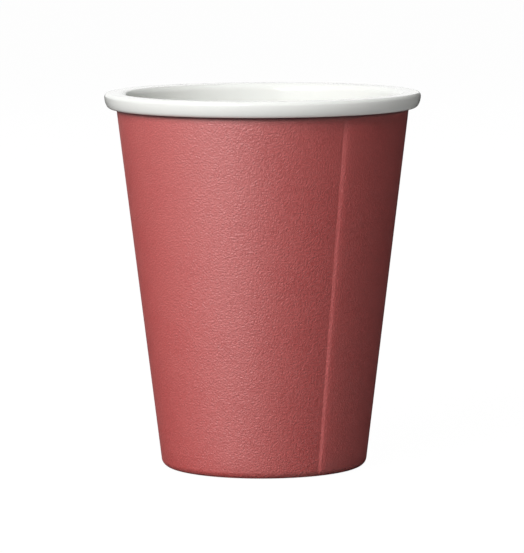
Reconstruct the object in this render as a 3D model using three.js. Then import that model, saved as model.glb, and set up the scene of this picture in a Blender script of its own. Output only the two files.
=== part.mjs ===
// A porcelain cup in the form of a paper cup: a cast porcelain body with a rolled rim and an overlap seam
// down its side, a glossy white glaze inside and over the rim, and a matte red coat on the outside wall.
// Millimetres, +Z up, the origin at the centre of the foot, on the table. The front faces -Y.
import * as THREE from "three";
import { mergeVertices } from "three/addons/utils/BufferGeometryUtils.js";

// Overall sizes. They are those of the finished, glazed surfaces.
const cupHeight = 95;
const rimRadius = 40; // at the widest line of the rolled rim
const footRadius = 25.87; // where the sloping wall would meet the table
const wallThickness = 2.9;
const floorThickness = 3.4;

// The rolled rim, as the arcs that it is turned from
const lipRadius = 2; // from the inner wall up to the rim's flat top
const rimCornerRadius = 1; // from the flat top down to the outer face
const rollFaceRadius = 4.5; // the outer face
const rollFaceSweep = 30; // degrees of that arc
const rollUnderRadius = 1.4; // the roll's underside, which curls back up to the wall
const curlEnd = 144; // degrees below the horizontal, where the curl reaches the wall

// The foot and the hollow under the floor
const footCornerRadius = 2.1;
const coatEnd = 80; // degrees below the horizontal, where the red coat stops on the foot's corner
const footRingWidth = 4.8; // from the wall's foot in to the hollow
const recessDepth = 2.4;
const recessFilletRadius = 1.2;
const footBevel = 0.25; // the bare foot ring's inner edge
const baseGlazeEdge = 0.7; // height at which the glaze under the floor stops
const insideFilletRadius = 5; // from the inner wall to the floor

// Fired coats on the porcelain
const glazeThickness = 0.3;
const coatThickness = 0.3;

// The overlap seam: one edge of the wrapped wall lies on the other. It leans a little as it rises.
const seamAtFoot = 31; // degrees round from the front, towards +X
const seamAtTop = 33.2;
const lapHeight = 0.52; // how far the upper layer stands out
const lapEdge = [
  // degrees past the seam, share of the lap's height
  [0, 0],
  [2.3, 0.62],
  [3.7, 0.86],
  [5.4, 0.96],
  [8, 1],
];
const lapFadeEnd = 60; // degrees past the seam, where the upper layer has blended into the wall
const lapFadeHeight = 0.6; // the stretch under the rim over which the lap runs out

// Facets
const columnsRound = 60; // columns round the cup, apart from those across the seam's edge
const footSteps = 4;
const underSteps = 4;
const faceSteps = 2;
const cornerSteps = 3;
const lipSteps = 4;
const filletSteps = 4;

const radians = THREE.MathUtils.degToRad;
const recessRadius = footRadius - footRingWidth;

// A point of an outline: distance from the axis, height, and the share of the lap that it carries.
function at(radius, height, lap = 0) {
  return Object.assign(new THREE.Vector2(radius, height), { lap });
}

// Points along an arc. Its angles are in radians, from the outward horizontal, positive upwards.
function arc(centre, radius, from, to, steps, lapAt = () => 0) {
  return Array.from({ length: steps + 1 }, (_, i) => {
    const angle = from + ((to - from) * i) / steps;
    return at(
      centre.x + radius * Math.cos(angle),
      centre.y + radius * Math.sin(angle),
      lapAt(i / steps),
    );
  });
}

// The centres of the rim's arcs, from the outside in
const faceCentre = at(rimRadius - rollFaceRadius, cupHeight - rimCornerRadius);
const cornerCentre = at(rimRadius - rimCornerRadius, cupHeight - rimCornerRadius);
const underCentre = at(
  faceCentre.x + (rollFaceRadius - rollUnderRadius) * Math.cos(radians(rollFaceSweep)),
  faceCentre.y - (rollFaceRadius - rollUnderRadius) * Math.sin(radians(rollFaceSweep)),
);

// The wall runs straight from the curl's end down towards the foot.
const wallTop = at(
  underCentre.x + rollUnderRadius * Math.cos(radians(curlEnd)),
  underCentre.y - rollUnderRadius * Math.sin(radians(curlEnd)),
);
const wallLean = Math.atan((wallTop.x - footRadius) / wallTop.y);

// The wall's radius at a height, at a depth under its outer surface
function wallRadius(height, depth = 0) {
  return footRadius + height * Math.tan(wallLean) - depth / Math.cos(wallLean);
}

// The outside of the wall and the foot's corner, from the coat's lower edge up, at a depth under the surface
function outerWall(depth) {
  const centre = at(wallRadius(footCornerRadius, footCornerRadius), footCornerRadius);
  const corner = arc(
    centre,
    footCornerRadius - depth,
    -radians(coatEnd),
    -wallLean,
    footSteps,
    (share) => share,
  );
  const lapEndHeight = wallTop.y - lapFadeHeight;
  return [
    ...corner,
    at(wallRadius(lapEndHeight, depth), lapEndHeight, 1),
    at(wallRadius(wallTop.y, depth), wallTop.y),
  ];
}

// The rolled rim, the inner wall and the floor, from the curl's end to the axis, at a depth under the glaze
function rimAndInside(depth) {
  const lipHeight = cupHeight - lipRadius;
  const lipCentre = at(wallRadius(lipHeight, wallThickness - lipRadius), lipHeight);
  const floorHeight = recessDepth + floorThickness;
  const filletHeight = floorHeight + insideFilletRadius;
  const filletCentre = at(
    wallRadius(filletHeight, wallThickness + insideFilletRadius),
    filletHeight,
  );
  const faceEnd = -radians(rollFaceSweep);
  return [
    ...arc(underCentre, rollUnderRadius - depth, -radians(curlEnd), faceEnd, underSteps),
    ...arc(faceCentre, rollFaceRadius - depth, faceEnd, 0, faceSteps).slice(1),
    ...arc(cornerCentre, rimCornerRadius - depth, 0, Math.PI / 2, cornerSteps).slice(1),
    ...arc(lipCentre, lipRadius - depth, Math.PI / 2, Math.PI - wallLean, lipSteps),
    ...arc(filletCentre, insideFilletRadius + depth, -wallLean, -Math.PI / 2, filletSteps),
    at(0, floorHeight - depth),
  ];
}

// The hollow under the floor, from the axis to its side, at a depth under the glaze
function underFloor(depth) {
  const centre = at(
    recessRadius - glazeThickness - recessFilletRadius,
    recessDepth - recessFilletRadius,
  );
  return [
    at(0, recessDepth + depth),
    ...arc(centre, recessFilletRadius + depth, Math.PI / 2, 0, filletSteps),
  ];
}

// How far the lap stands out, at an angle past the seam's edge in degrees
function lapLift(past) {
  const [lastDegrees] = lapEdge.at(-1);
  if (past >= lastDegrees) {
    return lapHeight * (1 - THREE.MathUtils.smoothstep(past, lastDegrees, lapFadeEnd));
  }
  const next = lapEdge.findIndex(([degrees]) => degrees > past);
  const [fromDegrees, fromShare] = lapEdge[next - 1];
  const [toDegrees, toShare] = lapEdge[next];
  return (
    lapHeight *
    THREE.MathUtils.mapLinear(past, fromDegrees, toDegrees, fromShare, toShare)
  );
}

// The columns' angles past the seam's edge: close together across the edge, and even round the rest
const [edgeEnd] = lapEdge.at(-1);
const columns = [
  ...lapEdge.slice(0, -1).map(([degrees]) => degrees),
  ...Array.from(
    { length: columnsRound },
    (_, i) => edgeEnd + ((360 - edgeEnd) * i) / columnsRound,
  ),
];

// Turns an outline round the axis, and raises what carries the lap. The outline runs anticlockwise as seen
// with the axis on its left. Each face is split along the same diagonal whichever way its outline passes, so
// a coat and the body under it share the very same triangles.
function turned(outline) {
  const positions = columns.flatMap((past) =>
    outline.flatMap((point) => {
      const seam = THREE.MathUtils.lerp(seamAtFoot, seamAtTop, point.y / cupHeight);
      const angle = radians(seam + past);
      const radius = point.x + point.lap * lapLift(past);
      return [radius * Math.sin(angle), -radius * Math.cos(angle), point.y];
    }),
  );
  const triangles = [];
  for (let column = 0; column < columns.length; column++) {
    const here = column * outline.length;
    const next = ((column + 1) % columns.length) * outline.length;
    for (let i = 0; i + 1 < outline.length; i++) {
      const [first, last] = [outline[i], outline[i + 1]];
      if (first.x === 0) {
        triangles.push(here + i, next + i + 1, here + i + 1);
      } else if (last.x === 0) {
        triangles.push(here + i, next + i, here + i + 1);
      } else if (first.y < last.y) {
        triangles.push(here + i, next + i, here + i + 1);
        triangles.push(next + i, next + i + 1, here + i + 1);
      } else {
        triangles.push(here + i, next + i, next + i + 1);
        triangles.push(here + i, next + i + 1, here + i + 1);
      }
    }
  }
  const surface = new THREE.BufferGeometry();
  surface.setAttribute("position", new THREE.Float32BufferAttribute(positions, 3));
  surface.setIndex(triangles);
  const closed = mergeVertices(surface);
  closed.computeVertexNormals();
  return closed;
}

function piece(name, outline, material) {
  const mesh = new THREE.Mesh(turned(outline), material);
  mesh.name = name;
  return mesh;
}

const porcelain = new THREE.MeshStandardMaterial({ color: 0xece8df, roughness: 0.75 });
const whiteGlaze = new THREE.MeshStandardMaterial({ color: 0xf3f2ec, roughness: 0.12 });
const redCoat = new THREE.MeshStandardMaterial({ color: 0xac4a4c, roughness: 0.6 });

// The porcelain body, cast in one piece: hollow foot, wall with the lap, rolled rim core, inside and floor.
// The glaze is thicker in the corner between the curl and the wall, where the body's corner is square.
function porcelainBody() {
  const wall = outerWall(coatThickness);
  const inside = rimAndInside(glazeThickness);
  const [coatFoot] = outerWall(0);
  const [curl] = inside;
  const outline = [
    ...underFloor(glazeThickness),
    at(recessRadius, footBevel),
    at(recessRadius + footBevel, 0),
    at(wallRadius(footCornerRadius, footCornerRadius), 0),
    coatFoot,
    ...wall,
    at(wallRadius(curl.y, coatThickness), curl.y),
    ...inside,
  ];
  return piece("porcelain_body", outline, porcelain);
}

// The matte red coat on the outside wall, from the foot's corner up to the glaze under the curl
function outerCoat() {
  const outside = outerWall(0);
  const outline = [...outside, ...outerWall(coatThickness).reverse(), outside[0]];
  return piece("outer_coat", outline, redCoat);
}

// The glossy white glaze: the floor, the inner wall and the whole rolled rim, ending on the coat's top edge
function linerGlaze() {
  const under = rimAndInside(glazeThickness);
  const [curl] = under;
  const outline = [
    ...under.reverse(),
    at(wallRadius(curl.y, coatThickness), curl.y),
    at(wallRadius(wallTop.y, coatThickness), wallTop.y),
    ...rimAndInside(0),
  ];
  return piece("liner_glaze", outline, whiteGlaze);
}

// The glaze under the floor. It stops short of the foot ring, which stays bare where it stands in the kiln.
function baseGlaze() {
  const outline = [
    ...underFloor(0),
    at(recessRadius - glazeThickness, baseGlazeEdge),
    at(recessRadius, baseGlazeEdge),
    ...underFloor(glazeThickness).reverse(),
  ];
  return piece("base_glaze", outline, whiteGlaze);
}

const cup = new THREE.Group();
cup.name = "porcelain_cup";
cup.add(porcelainBody(), outerCoat(), linerGlaze(), baseGlaze());

export default cup;
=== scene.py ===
import math

import bpy
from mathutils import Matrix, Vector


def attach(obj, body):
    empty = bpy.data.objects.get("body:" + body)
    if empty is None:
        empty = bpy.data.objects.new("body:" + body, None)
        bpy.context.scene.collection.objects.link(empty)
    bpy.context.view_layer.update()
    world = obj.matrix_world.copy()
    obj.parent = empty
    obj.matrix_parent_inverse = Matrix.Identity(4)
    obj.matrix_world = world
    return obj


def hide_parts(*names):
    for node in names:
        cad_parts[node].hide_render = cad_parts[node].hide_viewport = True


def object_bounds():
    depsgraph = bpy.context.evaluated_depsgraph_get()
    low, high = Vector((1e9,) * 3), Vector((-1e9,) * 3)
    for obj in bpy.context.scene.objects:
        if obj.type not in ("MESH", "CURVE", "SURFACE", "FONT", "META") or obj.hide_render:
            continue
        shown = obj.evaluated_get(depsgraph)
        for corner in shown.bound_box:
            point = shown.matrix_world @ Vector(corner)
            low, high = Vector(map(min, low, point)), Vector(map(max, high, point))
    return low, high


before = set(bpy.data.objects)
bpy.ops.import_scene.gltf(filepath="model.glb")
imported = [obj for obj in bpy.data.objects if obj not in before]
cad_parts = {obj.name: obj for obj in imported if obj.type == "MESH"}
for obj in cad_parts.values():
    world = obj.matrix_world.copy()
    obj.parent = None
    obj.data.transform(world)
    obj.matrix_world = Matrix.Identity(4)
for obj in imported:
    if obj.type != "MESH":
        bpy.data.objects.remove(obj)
cad_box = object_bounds()
bpy.ops.object.select_all(action="DESELECT")

# The camera stands about a metre in front of the cup, a little higher than the rim, and looks slightly down
# on it with a long lens. The cup stands a hair to the right of the middle, and leans a quarter of a degree.
mm = 0.001
camera_place = (-0.34 * mm, -1057.7 * mm, 162.8 * mm)
camera_pitch = 6.19  # degrees down
camera_roll = -0.25
camera_lens = 272.9
camera_film = 36
bpy.ops.object.camera_add(location=camera_place)
camera = bpy.context.object
camera.rotation_mode = "ZXY"
camera.rotation_euler = (math.radians(90 - camera_pitch), 0, math.radians(camera_roll))
camera.data.lens = camera_lens
camera.data.sensor_width = camera_film
bpy.context.scene.camera = camera

# The porcelain body is cast in one piece: the wall with the raised lap of its seam, the floor, the hollow
# foot and the core of the rolled rim. Only the foot ring, which is wiped bare before firing, shows.
cup_height = cad_box[1][2]
rim_radius = 39.97 * mm  # a hair under the solids' faceted rim, to stay in their box
foot_radius = 25.87 * mm  # where the sloping wall would meet the table
wall_thickness = 2.9 * mm
floor_thickness = 3.4 * mm
lip_radius = 2 * mm  # from the inner wall up to the rim's flat top
rim_corner_radius = 1 * mm  # from the flat top down to the outer face
roll_face_radius = 4.5 * mm
roll_face_sweep = 30  # degrees of the rim's outer face
roll_under_radius = 1.4 * mm  # the roll's underside, which curls back up to the wall
curl_end = 144  # degrees below the horizontal, where the curl reaches the wall
foot_corner_radius = 2.1 * mm
coat_end = 80  # degrees below the horizontal, where the red coat stops on the foot's corner
foot_ring_width = 4.8 * mm
recess_radius = foot_radius - foot_ring_width
recess_depth = 2.4 * mm
recess_fillet_radius = 1.2 * mm
foot_bevel = 0.25 * mm
inside_fillet_radius = 5 * mm
glaze_thickness = 0.3 * mm
coat_thickness = 0.3 * mm
arc_step = 9  # degrees
arc_fewest_steps = 4
wall_rows = 24
floor_rows = 4


def arc(centre, radius, first, last):
    """Points along an arc in the plane of the axis. Angles are in degrees from the outward horizontal."""
    steps = max(arc_fewest_steps, round(abs(last - first) / arc_step))
    turns = [math.radians(first + (last - first) * i / steps) for i in range(steps + 1)]
    return [(centre[0] + radius * math.cos(t), centre[1] + radius * math.sin(t)) for t in turns]


def line(first, last, rows):
    """Points along a straight stretch, without its two ends."""
    shares = [i / rows for i in range(1, rows)]
    return [(first[0] + (last[0] - first[0]) * s, first[1] + (last[1] - first[1]) * s) for s in shares]


def polar(centre, radius, angle):
    """The point of an arc at one angle, in degrees from the outward horizontal."""
    turn = math.radians(angle)
    return (centre[0] + radius * math.cos(turn), centre[1] + radius * math.sin(turn))


face_centre = (rim_radius - roll_face_radius, cup_height - rim_corner_radius)
corner_centre = (rim_radius - rim_corner_radius, cup_height - rim_corner_radius)
under_centre = polar(face_centre, roll_face_radius - roll_under_radius, -roll_face_sweep)
wall_top = polar(under_centre, roll_under_radius, -curl_end)
wall_lean = math.degrees(math.atan((wall_top[0] - foot_radius) / wall_top[1]))


def wall_radius(height, depth=0):
    """The wall's distance from the axis at a height, at a depth under its outer surface."""
    lean = math.radians(wall_lean)
    return foot_radius + height * math.tan(lean) - depth / math.cos(lean)


def outer_wall(depth):
    """The foot's corner and the wall, up to the curl's end, at a depth under the finished surface."""
    centre = (wall_radius(foot_corner_radius, foot_corner_radius), foot_corner_radius)
    corner = arc(centre, foot_corner_radius - depth, -coat_end, -wall_lean)
    top = (wall_radius(wall_top[1], depth), wall_top[1])
    return [*corner, *line(corner[-1], top, wall_rows), top]


def rim_and_inside(depth):
    """From the curl's end over the rim and down the inside to the axis, at a depth under the glaze."""
    lip_height = cup_height - lip_radius
    lip_centre = (wall_radius(lip_height, wall_thickness - lip_radius), lip_height)
    floor_height = recess_depth + floor_thickness
    fillet_height = floor_height + inside_fillet_radius
    fillet_centre = (
        wall_radius(fillet_height, wall_thickness + inside_fillet_radius),
        fillet_height,
    )
    lip = arc(lip_centre, lip_radius - depth, 90, 180 - wall_lean)
    fillet = arc(fillet_centre, inside_fillet_radius + depth, -wall_lean, -90)
    axis = (0, floor_height - depth)
    return [
        *arc(under_centre, roll_under_radius - depth, -curl_end, -roll_face_sweep),
        *arc(face_centre, roll_face_radius - depth, -roll_face_sweep, 0)[1:],
        *arc(corner_centre, rim_corner_radius - depth, 0, 90)[1:],
        *lip,
        *line(lip[-1], fillet[0], wall_rows),
        *fillet,
        *line(fillet[-1], axis, floor_rows),
        axis,
    ]


def under_floor(depth):
    """The hollow under the floor, from the axis to its side, at a depth under the glaze."""
    centre = (
        recess_radius - glaze_thickness - recess_fillet_radius,
        recess_depth - recess_fillet_radius,
    )
    fillet = arc(centre, recess_fillet_radius + depth, 90, 0)
    axis = (0, recess_depth + depth)
    return [axis, *line(axis, fillet[0], floor_rows), *fillet]


seam_at_foot = 31  # degrees round from the front, towards +X
seam_at_top = 33.2
seam_lead = 2  # degrees of close columns before the lap's edge
seam_tail = 9  # degrees of close columns after it
seam_columns = 74
round_columns = 280
doubles_gap = 0.002 * mm


def turned(name, outline):
    """Traces an outline beside the axis, vertex by vertex, and spins it, in close columns at the seam."""
    start = math.radians(seam_at_foot - seam_lead)
    places = [(r * math.sin(start), -r * math.cos(start), z) for r, z in outline]
    bpy.ops.mesh.primitive_plane_add()
    piece = bpy.context.object
    piece.name = name
    bpy.ops.object.mode_set(mode="EDIT")
    bpy.ops.mesh.merge(type="CENTER")
    bpy.ops.transform.translate(value=places[0])
    for before, after in zip(places, places[1:]):
        step = [b - a for a, b in zip(before, after)]
        bpy.ops.mesh.extrude_vertices_move(TRANSFORM_OT_translate={"value": step})
    bpy.ops.mesh.select_all(action="SELECT")
    close = math.radians(seam_lead + seam_tail)
    axis = {"center": (0, 0, 0), "axis": (0, 0, -1)}
    bpy.ops.mesh.spin(steps=seam_columns, angle=close, **axis)
    bpy.ops.mesh.spin(steps=round_columns, angle=2 * math.pi - close, **axis)
    bpy.ops.mesh.select_all(action="SELECT")
    bpy.ops.mesh.remove_doubles(threshold=doubles_gap)
    bpy.ops.mesh.normals_make_consistent(inside=False)
    bpy.ops.object.mode_set(mode="OBJECT")
    return piece


lap_height = 0.52 * mm  # how far the wrapped layer stands out
lap_ramp = 1.4  # degrees over which the lap's edge rises straight
lap_ramp_share = 0.6
lap_round = 1.5  # degrees in which the rest of its height falls to a third
lap_flat = 8  # degrees past the seam, where the lap begins to fade
lap_fade_end = 60
lap_fade_height = 0.6 * mm  # the stretch under the rim over which the lap runs out
lap_top_gap = 0.001 * mm  # leaves out the row at the wall's very top


def smooth(share):
    """A share of 0 to 1, eased at both ends."""
    share = min(1, max(0, share))
    return share * share * (3 - 2 * share)


def lap_share(past):
    """How far the wrapped layer stands out at an angle past its edge, as a share of the lap's height."""
    if past < lap_ramp:
        return lap_ramp_share * past / lap_ramp
    edge = 1 - (1 - lap_ramp_share) * math.exp((lap_ramp - past) / lap_round)
    fade = 1 - smooth((past - lap_flat) / (lap_fade_end - lap_flat))
    return edge * fade


def lapped(piece, lowest):
    """Raises the layer that laps over at the seam, above the lowest height, and leans the seam."""
    group = piece.vertex_groups.new(name="lap")
    top = wall_top[1]
    for vertex in piece.data.vertices:
        x, y, z = vertex.co
        past = (math.degrees(math.atan2(x, -y)) - seam_at_foot) % 360
        outside = math.hypot(x, y) > wall_radius(z, wall_thickness / 2)
        if outside and lowest < z < top - lap_top_gap:
            rise = smooth((z - lowest) / foot_corner_radius)
            run_out = smooth((top - z) / lap_fade_height)
            group.add([vertex.index], lap_share(past) * rise * run_out, "REPLACE")
    displace = piece.modifiers.new("lap", "DISPLACE")
    displace.vertex_group = "lap"
    displace.mid_level = 0
    displace.strength = lap_height
    bpy.ops.object.modifier_apply(modifier=displace.name)
    twist = piece.modifiers.new("lean", "SIMPLE_DEFORM")
    twist.deform_method = "TWIST"
    twist.deform_axis = "Z"
    twist.angle = math.radians(seam_at_top - seam_at_foot)
    bpy.ops.object.modifier_apply(modifier=twist.name)


sharp_edge = 35  # degrees


def shaded(piece, material, node):
    """Gives a piece its finish, and puts it in the place of its solid."""
    piece.data.materials.append(material)
    bpy.ops.object.shade_smooth_by_angle(angle=math.radians(sharp_edge))
    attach(piece, "root")
    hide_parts(node)
    piece.select_set(False)


class Socket:
    """An output of a node. Arithmetic on it adds Math nodes, so that a pattern reads as a formula."""

    def __init__(self, finish, output):
        self.finish, self.output = finish, output

    def __add__(self, other):
        return self.finish.math("ADD", self, other)

    def __sub__(self, other):
        return self.finish.math("SUBTRACT", self, other)

    def __rsub__(self, other):
        return self.finish.math("SUBTRACT", other, self)

    def __mul__(self, other):
        return self.finish.math("MULTIPLY", self, other)

    __radd__ = __add__
    __rmul__ = __mul__


class Finish:
    """The node tree of a material, or of what surrounds the cup."""

    def __init__(self, owner):
        owner.use_nodes = True
        self.owner, self.tree = owner, owner.node_tree

    def node(self, kind, settings=None, inputs=None, output=0):
        """Adds a node, sets it, sets or links its inputs, and returns one of its outputs."""
        node = self.tree.nodes.new(kind)
        for name, value in (settings or {}).items():
            setattr(node, name, value)
        for key, value in (inputs or {}).items():
            self.feed(node.inputs[key], value)
        return Socket(self, node.outputs[output])

    def feed(self, socket, value):
        """Links a socket, or sets its value."""
        if isinstance(value, Socket):
            self.tree.links.new(value.output, socket)
        else:
            socket.default_value = value

    def surface(self, **inputs):
        """Sets or links the shader's own sockets. An underscore in a name stands for a space."""
        sockets = self.tree.nodes["Principled BSDF"].inputs
        for name, value in inputs.items():
            self.feed(sockets[name.replace("_", " ")], value)

    def math(self, operation, *values):
        return self.node("ShaderNodeMath", {"operation": operation}, dict(enumerate(values)))

    def vector(self, operation, output, *values):
        inputs = dict(enumerate(values))
        return self.node("ShaderNodeVectorMath", {"operation": operation}, inputs, output)

    def place(self):
        return self.node("ShaderNodeTexCoord", output="Object")

    def height(self):
        return self.node("ShaderNodeSeparateXYZ", inputs={0: self.place()}, output="Z")

    def noise(self, scale, detail=2):
        """A noise of about 0.3 to 0.7, whose patches measure one metre through the scale."""
        inputs = {"Vector": self.place(), "Scale": scale, "Detail": detail}
        return self.node("ShaderNodeTexNoise", inputs=inputs)

    def step(self, value, first, last):
        """0 before the first value, 1 past the last, and smooth between them."""
        inputs = {"Value": value, "From Min": first, "From Max": last}
        return self.node("ShaderNodeMapRange", {"interpolation_type": "SMOOTHSTEP"}, inputs)

    def patches(self, noise):
        """A noise drawn out to the whole of 0 to 1."""
        return self.step(noise, 0.35, 0.65)

    def mix(self, share, first, last):
        """A colour between two others."""
        return self.node("ShaderNodeMix", {"data_type": "RGBA"}, {0: share, 6: first, 7: last}, 2)

    def bump(self, height, distance):
        return self.node("ShaderNodeBump", inputs={"Height": height, "Distance": distance})


# The bare ring has a fine dry grain, a few dark specks, and a toasted line where the glazes begin.
pale_clay = (0.8, 0.77, 0.7, 1)
warm_clay = (0.74, 0.7, 0.62, 1)
toast = (0.62, 0.45, 0.3, 1)
iron_speck = (0.2, 0.13, 0.09, 1)
toast_from, toast_to = 0.9 * mm, 1.9 * mm  # from the middle of the ring
toast_wander = 0.6 * mm
speck_from, speck_to = 0.73, 0.76  # of a noise that seldom passes 0.7
dry_depth = 0.04 * mm
bare = Finish(bpy.data.materials.new("bare_porcelain"))
dry = bare.noise(scale=2600, detail=3)
cloud = bare.noise(scale=220)
flat_place = bare.vector("MULTIPLY", "Vector", bare.place(), (1, 1, 0))
from_axis = bare.vector("LENGTH", "Value", flat_place)
ring_middle = (recess_radius + foot_radius - foot_corner_radius) / 2
off_middle = bare.math("ABSOLUTE", from_axis - ring_middle)
clay = bare.mix(bare.patches(cloud), pale_clay, warm_clay)
edge = bare.step(off_middle + cloud * toast_wander, toast_from, toast_to)
specks = bare.step(bare.noise(scale=900, detail=1), speck_from, speck_to)
bare.surface(
    Base_Color=bare.mix(specks * 0.7, bare.mix(edge * 0.5, clay, toast), iron_speck),
    Roughness=0.75 + dry * 0.2,
    Normal=bare.bump(dry, dry_depth),
)
wall = outer_wall(coat_thickness)
inside = rim_and_inside(glaze_thickness)
body = turned(
    "porcelain_body_turned",
    [
        *under_floor(glaze_thickness),
        (recess_radius, foot_bevel),
        (recess_radius + foot_bevel, 0),
        (wall_radius(foot_corner_radius, foot_corner_radius), 0),
        outer_wall(0)[0],
        *wall,
        (wall_radius(inside[0][1], coat_thickness), inside[0][1]),
        *inside,
    ],
)
lapped(body, wall[0][1])
shaded(body, bare.owner, "porcelain_body")

# The matte red coat is sprayed on the outside wall, from the bare foot ring up to the glaze under the curl.
# It is a thin skin of one thickness, so it follows the lap of the seam. It has a satin face over a fine
# leathery grain. In the crease under the rim, a band of painted shade darkens it and takes away its sheen.
deep_red = (0.6, 0.04, 0.034, 1)
light_red = (0.685, 0.07, 0.065, 1)
drift_red = (0.64, 0.054, 0.045, 1)
# painted shade: the dark red of the shadow line just under the curl
crease_shade_red = (0.1, 0.006, 0.006, 1)
crease_shade_from, crease_shade_to = 1.7 * mm, 0.7 * mm  # below the curl's end
pebble_depth = 0.2 * mm
red = Finish(bpy.data.materials.new("red_coat"))
pebble = red.noise(scale=2400, detail=0.5)
speck = red.patches(red.noise(scale=1700, detail=1))
drift = red.patches(red.noise(scale=120))
clouded = red.mix(drift * 0.5, red.mix(speck, deep_red, light_red), drift_red)
# painted shade: darker, rougher and with almost no coat in a band just under the curl's end
painted_crease_shade = red.step(red.height(), wall_top[1] - crease_shade_from, wall_top[1] - crease_shade_to)
red.surface(
    Base_Color=red.mix(painted_crease_shade, clouded, crease_shade_red),
    Roughness=0.5 + drift * 0.06 + painted_crease_shade * 0.3,
    IOR=2.1,
    Coat_Weight=1 - painted_crease_shade * 0.9,
    Coat_Roughness=0.43,
    Coat_IOR=3,
    Normal=red.bump(pebble, pebble_depth),
)
coat = turned("outer_coat_skin", outer_wall(0))
lapped(coat, outer_wall(0)[0][1])
skin = coat.modifiers.new("skin", "SOLIDIFY")
skin.thickness = coat_thickness
skin.offset = -1
bpy.ops.object.modifier_apply(modifier=skin.name)
shaded(coat, red.owner, "outer_coat")

# The glossy white glaze covers the floor, the inner wall and the whole rolled rim. It is poured in and the
# rim is dipped, so it is one coat, a little wavy, that ends on the red coat's top edge. It is cooler in
# colour where it pools at the floor.
thin_white = (0.858, 0.864, 0.833, 1)
cloud_white = (0.848, 0.857, 0.828, 1)
pool_white = (0.82, 0.85, 0.82, 1)
pool_top = recess_depth + floor_thickness + 2 * inside_fillet_radius
wave_depth = 0.05 * mm
white = Finish(bpy.data.materials.new("white_glaze"))
pool = white.step(white.height(), pool_top, recess_depth)
cloud = white.patches(white.noise(scale=90))
wave = white.noise(scale=70, detail=0)
peel = white.noise(scale=700, detail=1)
white.surface(
    Base_Color=white.mix(pool * 0.8, white.mix(cloud, thin_white, cloud_white), pool_white),
    Roughness=0.09 + cloud * 0.05,
    Normal=white.bump(wave + peel * 0.015, wave_depth),
)
liner = turned(
    "liner_glaze_turned",
    [
        *reversed(inside),
        (wall_radius(inside[0][1], coat_thickness), inside[0][1]),
        (wall_radius(wall_top[1], coat_thickness), wall_top[1]),
        *rim_and_inside(0),
    ],
)
shaded(liner, white.owner, "liner_glaze")

# The hollow under the floor has a coat of the same white glaze. It is wiped off short of the foot ring, so
# that the cup doesn't stick where it stands in the kiln.
base_glaze_edge = 0.7 * mm
base = turned(
    "base_glaze_turned",
    [
        *under_floor(0),
        (recess_radius - glaze_thickness, base_glaze_edge),
        (recess_radius, base_glaze_edge),
        *reversed(under_floor(glaze_thickness)),
    ],
)
shaded(base, white.owner, "base_glaze")

# The studio is a white floor under a white surround. Both show plain white to the camera and in gloss, and
# the floor keeps a faint shadow of the cup.
white_light = (1, 1, 1, 1)
paper_grey = (0.5, 0.5, 0.5, 1)
paper_glow = 1.045  # makes up for what the grey share takes from white
shadow_share = 0.06
floor_radius = 3
floor_place = (0, 0, -0.02 * mm)  # below the foot ring, which would flicker in one plane with it


def seen(finish):
    """1 on rays from the camera, from gloss and through glass, and 0 on the rays that light the cup."""
    camera_ray = finish.node("ShaderNodeLightPath", output="Is Camera Ray")
    gloss_ray = finish.node("ShaderNodeLightPath", output="Is Glossy Ray")
    glass_ray = finish.node("ShaderNodeLightPath", output="Is Transmission Ray")
    return finish.math("MAXIMUM", finish.math("MAXIMUM", camera_ray, gloss_ray), glass_ray)


bpy.ops.mesh.primitive_circle_add(
    vertices=64, radius=floor_radius, fill_type="NGON", location=floor_place
)
floor = bpy.context.object
floor.name = "floor"
paper = Finish(bpy.data.materials.new("white_paper"))
card = paper.node("ShaderNodeBsdfDiffuse", inputs={"Color": paper_grey})
glow = paper.node("ShaderNodeEmission", inputs={"Color": white_light, "Strength": paper_glow})
shown_share = seen(paper) * (1 - shadow_share)
shown = paper.node("ShaderNodeMixShader", inputs={0: shown_share, 1: card, 2: glow})
paper.feed(paper.tree.nodes["Material Output"].inputs["Surface"], shown)
floor.data.materials.append(paper.owner)

fill_light = 0.08  # the share of the surround's white that lights the cup
bpy.context.scene.world = bpy.data.worlds.new("studio")
studio = Finish(bpy.context.scene.world)
background = studio.tree.nodes["Background"].inputs
studio.feed(background["Color"], white_light)
studio.feed(background["Strength"], seen(studio) * (1 - fill_light) + fill_light)

# Three black cards keep the white of the studio out of the coat's sheen. One lies on the floor, from under
# the foot's corner outwards, a low one stands close behind the cup, and a tall one far off covers the front
# and the right. Only gloss shows them, and all light passes them.
card_black = (0.01, 0.01, 0.01, 1)
card_columns = 48
floor_card_from, floor_card_to = foot_radius - foot_corner_radius, 2.5
floor_card_lift = 0.1 * mm
low_card_from, low_card_to = -70, -250  # degrees round the cup from the camera's side, towards -X
low_card_radius, low_card_rise = 0.16, 0.098
tall_card_from, tall_card_to = 15, -170
tall_card_radius, tall_card_rise = 2, 4
black = Finish(bpy.data.materials.new("black_card"))
black.surface(Base_Color=card_black, Specular_IOR_Level=0)


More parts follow.
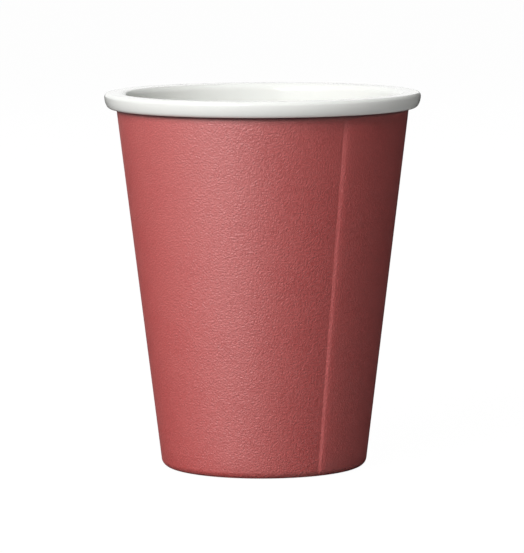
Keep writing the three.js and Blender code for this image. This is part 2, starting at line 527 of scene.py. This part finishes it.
def black_card(name, turn_from, turn_to, first, last):
    """A card swept round the cup from a line between two points, each a distance and a height."""
    bpy.ops.mesh.primitive_plane_add()
    card = bpy.context.object
    card.name = name
    start = math.radians(turn_from)
    ends = [(-r * math.sin(start), -r * math.cos(start), z) for r, z in (first, last)]
    bpy.ops.object.mode_set(mode="EDIT")
    bpy.ops.mesh.merge(type="CENTER")
    bpy.ops.transform.translate(value=ends[0])
    step = [b - a for a, b in zip(*ends)]
    bpy.ops.mesh.extrude_vertices_move(TRANSFORM_OT_translate={"value": step})
    bpy.ops.mesh.select_all(action="SELECT")
    sweep = math.radians(turn_from - turn_to)
    bpy.ops.mesh.spin(steps=card_columns, angle=sweep, center=(0, 0, 0), axis=(0, 0, -1))
    bpy.ops.object.mode_set(mode="OBJECT")
    card.visible_camera = False
    card.visible_diffuse = False
    card.visible_shadow = False
    card.data.materials.append(black.owner)


floor_card_edges = (floor_card_from, floor_card_lift), (floor_card_to, floor_card_lift)
low_card_edges = (low_card_radius, 0), (low_card_radius, low_card_rise)
tall_card_edges = (tall_card_radius, 0), (tall_card_radius, tall_card_rise)
black_card("floor_card", 0, -360, *floor_card_edges)
black_card("low_card", low_card_from, low_card_to, *low_card_edges)
black_card("tall_card", tall_card_from, tall_card_to, *tall_card_edges)

# Three softboxes light the cup: the key in front on the left, a high fill on the right, and one behind, so
# that the back reads. Only the key shows in gloss. Their faces are in metres and their power in watts.
lamp_aim = 50 * mm


def softbox(name, turn, lift, distance, width, height, power, in_gloss=False):
    """A rectangular lamp that faces the cup, at an angle round it from the camera's side, towards -X."""
    side, up = math.radians(turn), math.radians(lift)
    place = (
        -distance * math.cos(up) * math.sin(side),
        -distance * math.cos(up) * math.cos(side),
        lamp_aim + distance * math.sin(up),
    )
    bpy.ops.object.light_add(
        type="AREA", location=place, rotation=(math.radians(90 - lift), 0, -side)
    )
    lamp = bpy.context.object
    lamp.name = name
    lamp.visible_glossy = in_gloss
    lamp.data.shape = "RECTANGLE"
    lamp.data.size = width
    lamp.data.size_y = height
    lamp.data.energy = power


softbox("key_lamp", 34, 31, distance=1.6, width=1, height=0.7, power=25, in_gloss=True)
softbox("fill_lamp", -50, 66, distance=1.3, width=0.8, height=0.8, power=4.4)
softbox("back_lamp", 180, 40, distance=1.3, width=0.9, height=0.6, power=5.5)

bpy.context.scene.view_settings.view_transform = "Standard"
